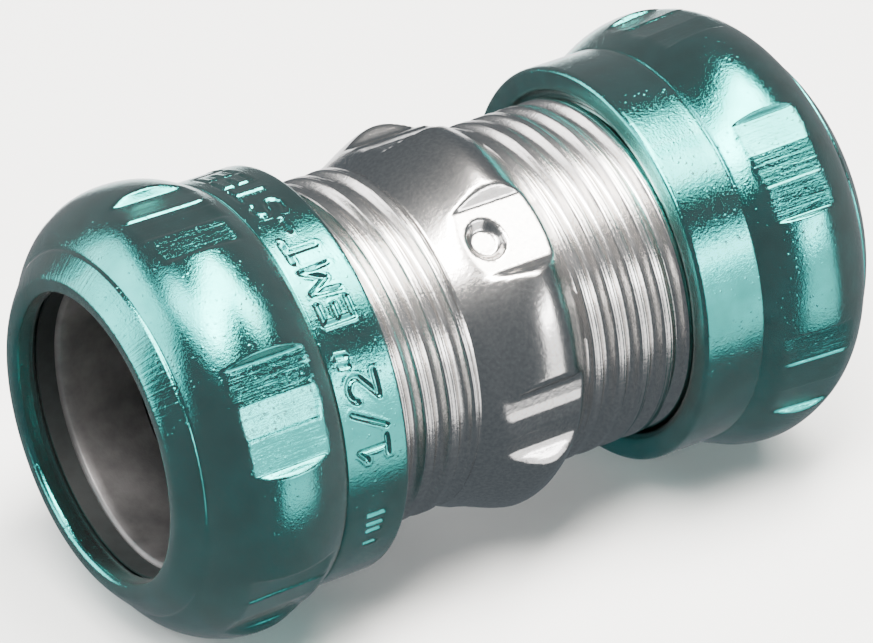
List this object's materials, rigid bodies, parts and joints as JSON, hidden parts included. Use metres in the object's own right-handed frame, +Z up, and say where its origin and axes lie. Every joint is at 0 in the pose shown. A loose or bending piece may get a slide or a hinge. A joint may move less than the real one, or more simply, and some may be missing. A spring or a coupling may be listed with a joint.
{
  "type": "conduit compression coupling",
  "caption": "Steel coupling that joins two thin-wall conduits end to end, with coloured compression nuts that squeeze a split ring and rubber seals onto each conduit.",
  "frame": {"origin": "centre of the bounding box, on the common axis of the body and both nuts", "axes": "+X along the axis, towards the right nut; +Z up, as the coupling lies on a table"},
  "size_m": [0.0524, 0.0296, 0.0296],
  "materials": {
    "zinc_plated_steel": "bright zinc plating on pressed steel",
    "teal_plated_steel": "metallic teal dyed plating on pressed steel",
    "ring_steel": "smooth rolled spring steel",
    "seal_rubber": "matte moulded rubber"
  },
  "bodies": {
    "coupling": {"coupling_body": "zinc_plated_steel"},
    "left_ring_set": {"left_outer_seal": "seal_rubber", "left_compression_ring": "ring_steel", "left_inner_seal": "seal_rubber"},
    "left_nut": {"left_compression_nut": "teal_plated_steel"},
    "right_ring_set": {"right_outer_seal": "seal_rubber", "right_compression_ring": "ring_steel", "right_inner_seal": "seal_rubber"},
    "right_nut": {"right_compression_nut": "teal_plated_steel"}
  },
  "joints": [
    {"name": "left_ring_slide", "type": "slide", "parent": "coupling", "child": "left_ring_set", "axis": [-1, 0, 0], "range_m": [-0.00039, 0.00455]},
    {"name": "left_nut_turn", "type": "hinge", "parent": "left_ring_set", "child": "left_nut", "pos_m": [-0.0208, 0, 0], "axis": [-1, 0, 0], "range_deg": [-75, 900]},
    {"name": "right_ring_slide", "type": "slide", "parent": "coupling", "child": "right_ring_set", "axis": [1, 0, 0], "range_m": [-0.00198, 0.00303]},
    {"name": "right_nut_turn", "type": "hinge", "parent": "right_ring_set", "child": "right_nut", "pos_m": [0.0192, 0, 0], "axis": [1, 0, 0], "range_deg": [-390, 600]}
  ],
  "couplings": [
    {"joint": "left_ring_slide", "follows": "left_nut_turn", "m_per_rad": 0.00028875},
    {"joint": "right_ring_slide", "follows": "right_nut_turn", "m_per_rad": 0.00028875}
  ]
}
